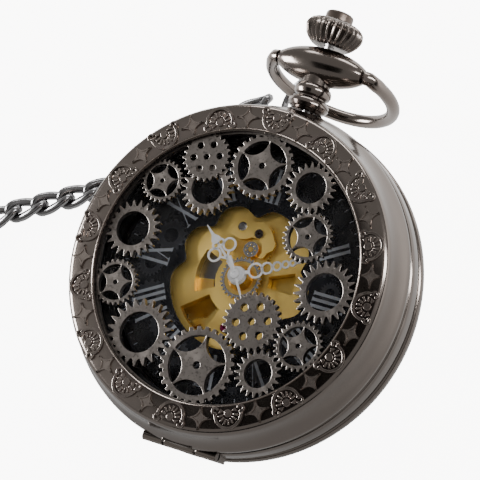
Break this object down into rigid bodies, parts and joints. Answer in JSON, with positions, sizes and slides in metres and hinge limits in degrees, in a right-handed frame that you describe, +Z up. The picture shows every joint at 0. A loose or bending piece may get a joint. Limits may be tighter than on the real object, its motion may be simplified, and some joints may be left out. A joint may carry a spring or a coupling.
{
  "type": "pocket watch",
  "caption": "Hunter-case pocket watch with a hinged cover pierced by a lattice of gears, skeleton dial, folding bow, push-button crown and a chain.",
  "frame": {"origin": "centre of the bottom of the watch's box, on the floor, chain left out", "axes": "+Z up, +Y from six o'clock towards the crown, +X towards three o'clock; the dial leans back about 9.8 degrees"},
  "size_m": [0.1251, 0.0749, 0.0215],
  "materials": {
    "gunmetal": "polished gunmetal plating",
    "lattice_gunmetal": "satin gunmetal plating",
    "gold_plate": "gold plated, grained",
    "steel": "bright steel",
    "silvered_hand": "silvered, polished",
    "glass": "clear mineral crystal",
    "dial_black": "gloss black enamel",
    "ruby": "polished ruby",
    "antique_silver": "antiqued silver plating"
  },
  "bodies": {
    "case": {"case_band": "gunmetal", "back_cover": "gunmetal", "back_crystal": "glass", "front_crystal": "glass", "crystal_bezel": "gunmetal", "cover_hinge_pin": "steel", "pendant": "gunmetal", "dial": "dial_black", "movement_ring": "steel", "main_plate": "gold_plate", "keyless_bridge": "gold_plate", "keyless_screw": "steel", "plate_jewel": "ruby", "bridge_jewel": "ruby", "barrel_bridge": "gold_plate", "train_bridge": "gold_plate", "balance_cock": "gold_plate", "hairspring": "steel", "chain": "antique_silver", "chain_coil": "antique_silver", "chain_clasp": "antique_silver"},
    "cover": {"cover_rim": "gunmetal", "gear_grille": "lattice_gunmetal"},
    "bow": {"bow": "gunmetal", "bow_link": "antique_silver"},
    "crown": {"crown": "gunmetal", "winding_stem": "steel"},
    "button": {"crown_button": "lattice_gunmetal"},
    "catch": {"cover_catch": "steel"},
    "minute": {"minute_hand": "silvered_hand", "cannon_pinion": "steel"},
    "hour": {"hour_hand": "silvered_hand", "hour_wheel": "gold_plate"},
    "minute_wheel": {"minute_wheel": "steel"},
    "seconds": {"seconds_hand": "silvered_hand"},
    "barrel": {"barrel": "gold_plate"},
    "ratchet": {"ratchet_wheel": "steel"},
    "crown_wheel": {"crown_wheel": "steel"},
    "click": {"click": "steel"},
    "centre": {"centre_wheel": "gold_plate"},
    "third": {"third_wheel": "gold_plate"},
    "fourth": {"fourth_wheel": "gold_plate"},
    "escape": {"escape_wheel": "steel"},
    "pallet": {"pallet_fork": "steel"},
    "balance": {"balance_wheel": "gold_plate"}
  },
  "joints": [
    {"name": "cover_hinge", "type": "hinge", "parent": "case", "child": "cover", "pos_m": [0, -0.03039, 0.00796], "axis": [1, 0, 0], "range_deg": [0, 110]},
    {"name": "bow_pivot", "type": "hinge", "parent": "case", "child": "bow", "pos_m": [0, 0.02309, 0.0153], "axis": [1, 0, 0], "range_deg": [-24, 226]},
    {"name": "crown_turn", "type": "hinge", "parent": "case", "child": "crown", "pos_m": [0, 0.02595, 0.01579], "axis": [0, 0.9854, 0.1701], "continuous": true},
    {"name": "button_press", "type": "slide", "parent": "crown", "child": "button", "axis": [0, -0.9854, -0.1701], "range_m": [0, 0.0008], "stiffness_N_per_m": 1500},
    {"name": "catch_slide", "type": "slide", "parent": "case", "child": "catch", "axis": [0, -0.9854, -0.1701], "range_m": [0, 0.0008]},
    {"name": "crown_wheel_turn", "type": "hinge", "parent": "case", "child": "crown_wheel", "pos_m": [0.0014, 0.00439, 0.00781], "axis": [0, -0.1701, 0.9854], "continuous": true},
    {"name": "ratchet_turn", "type": "hinge", "parent": "case", "child": "ratchet", "pos_m": [0.0062, -0.00152, 0.00679], "axis": [0, -0.1701, 0.9854], "continuous": true},
    {"name": "click_lift", "type": "hinge", "parent": "case", "child": "click", "pos_m": [0.0116, -0.00497, 0.00619], "axis": [0, -0.1701, 0.9854], "range_deg": [0, 12], "stiffness_Nm_per_rad": 0.00002},
    {"name": "minute_turn", "type": "hinge", "parent": "case", "child": "minute", "pos_m": [0, -0.00766, 0.01354], "axis": [0, -0.1701, 0.9854], "continuous": true},
    {"name": "hour_turn", "type": "hinge", "parent": "case", "child": "hour", "pos_m": [0, -0.00757, 0.01305], "axis": [0, -0.1701, 0.9854], "continuous": true},
    {"name": "minute_wheel_turn", "type": "hinge", "parent": "case", "child": "minute_wheel", "pos_m": [0, -0.00328, 0.01196], "axis": [0, -0.1701, 0.9854], "continuous": true},
    {"name": "centre_wheel_turn", "type": "hinge", "parent": "case", "child": "centre", "pos_m": [0, -0.00655, 0.00714], "axis": [0, -0.1701, 0.9854], "continuous": true},
    {"name": "third_wheel_turn", "type": "hinge", "parent": "case", "child": "third", "pos_m": [-0.0002, -0.01342, 0.00696], "axis": [0, -0.1701, 0.9854], "continuous": true},
    {"name": "fourth_wheel_turn", "type": "hinge", "parent": "case", "child": "fourth", "pos_m": [-0.0042, -0.01579, 0.00656], "axis": [0, -0.1701, 0.9854], "continuous": true},
    {"name": "escape_wheel_turn", "type": "hinge", "parent": "case", "child": "escape", "pos_m": [-0.0082, -0.01436, 0.0068], "axis": [0, -0.1701, 0.9854], "continuous": true},
    {"name": "barrel_turn", "type": "hinge", "parent": "case", "child": "barrel", "pos_m": [0.0062, -0.00198, 0.00945], "axis": [0, -0.1701, 0.9854], "continuous": true},
    {"name": "seconds_turn", "type": "hinge", "parent": "case", "child": "seconds", "pos_m": [0, -0.00774, 0.01403], "axis": [0, -0.1701, 0.9854], "continuous": true},
    {"name": "pallet_rock", "type": "hinge", "parent": "case", "child": "pallet", "pos_m": [-0.01035, -0.01169, 0.00808], "axis": [0, -0.1701, 0.9854], "range_deg": [-8, 8]},
    {"name": "balance_swing", "type": "hinge", "parent": "case", "child": "balance", "pos_m": [-0.0102, -0.00576, 0.00727], "axis": [0, -0.1701, 0.9854], "range_deg": [-140, 140], "stiffness_Nm_per_rad": 0.0000002}
  ],
  "couplings": [
    {"joint": "catch_slide", "follows": "button_press", "ratio": 1},
    {"joint": "crown_wheel_turn", "follows": "crown_turn", "ratio": -0.42857},
    {"joint": "ratchet_turn", "follows": "crown_turn", "ratio": 0.33333},
    {"joint": "hour_turn", "follows": "minute_turn", "ratio": 0.083333},
    {"joint": "minute_wheel_turn", "follows": "minute_turn", "ratio": -0.33333},
    {"joint": "barrel_turn", "follows": "centre_wheel_turn", "ratio": -0.125},
    {"joint": "third_wheel_turn", "follows": "centre_wheel_turn", "ratio": -8},
    {"joint": "fourth_wheel_turn", "follows": "centre_wheel_turn", "ratio": 60},
    {"joint": "escape_wheel_turn", "follows": "centre_wheel_turn", "ratio": -600},
    {"joint": "seconds_turn", "follows": "centre_wheel_turn", "ratio": 60}
  ]
}
